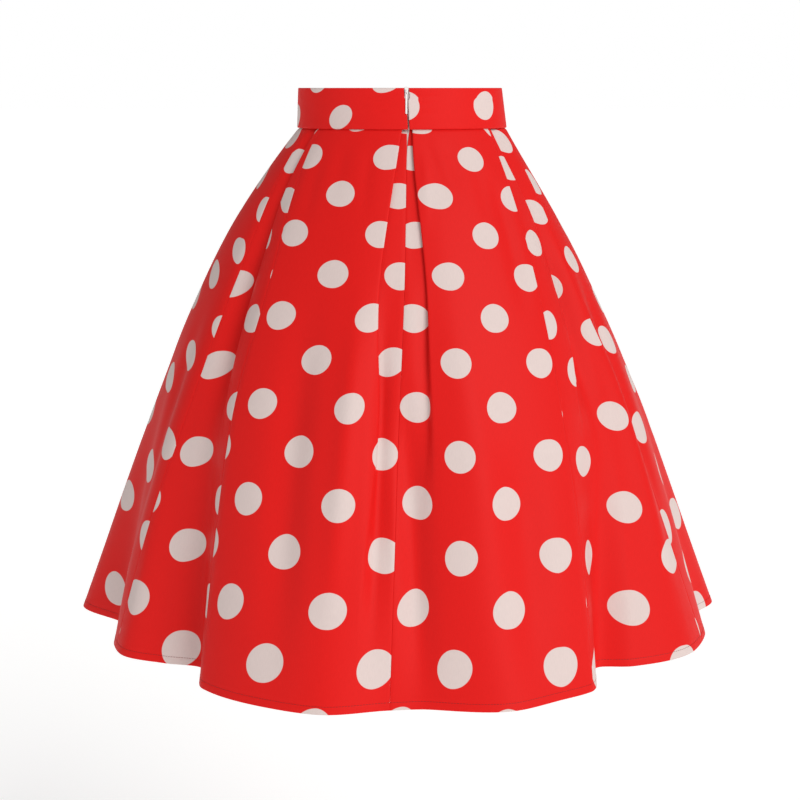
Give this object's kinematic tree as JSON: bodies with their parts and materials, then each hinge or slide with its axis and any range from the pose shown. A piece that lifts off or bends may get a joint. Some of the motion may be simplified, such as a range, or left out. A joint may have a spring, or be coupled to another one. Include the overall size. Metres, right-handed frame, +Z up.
{
  "type": "midi skirt",
  "caption": "Worn-shape flared midi skirt with a plain waistband, pleats that open towards the hem, a centre back zip and a polka dot print.",
  "frame": {"origin": "centre of the waist at half the height of the waistband, where the wearer holds the skirt up", "axes": "+Z up towards the waist's opening, -Y out of the centre back where the zip is, +X to the wearer's right"},
  "size_m": [0.7961, 0.6825, 0.6412],
  "materials": {
    "shell_cloth": "smooth red woven cloth with a soft sheen and off-white polka dots",
    "zip_tape": "matte white woven tape",
    "zip_lacquer": "white lacquered metal"
  },
  "bodies": {
    "skirt": {"waistband": "shell_cloth", "back_left": "shell_cloth", "back_right": "shell_cloth", "side_left": "shell_cloth", "side_right": "shell_cloth", "side_front_left": "shell_cloth", "side_front_right": "shell_cloth", "front_left": "shell_cloth", "front_right": "shell_cloth", "zip_tape": "zip_tape", "zip_slider": "zip_lacquer"},
    "pull": {"zip_pull": "zip_lacquer"}
  },
  "joints": [
    {"name": "pull_swing", "type": "hinge", "parent": "skirt", "child": "pull", "pos_m": [0.00721, -0.09193, 0.0198], "axis": [-1, 0, 0], "range_deg": [0, 150]}
  ]
}
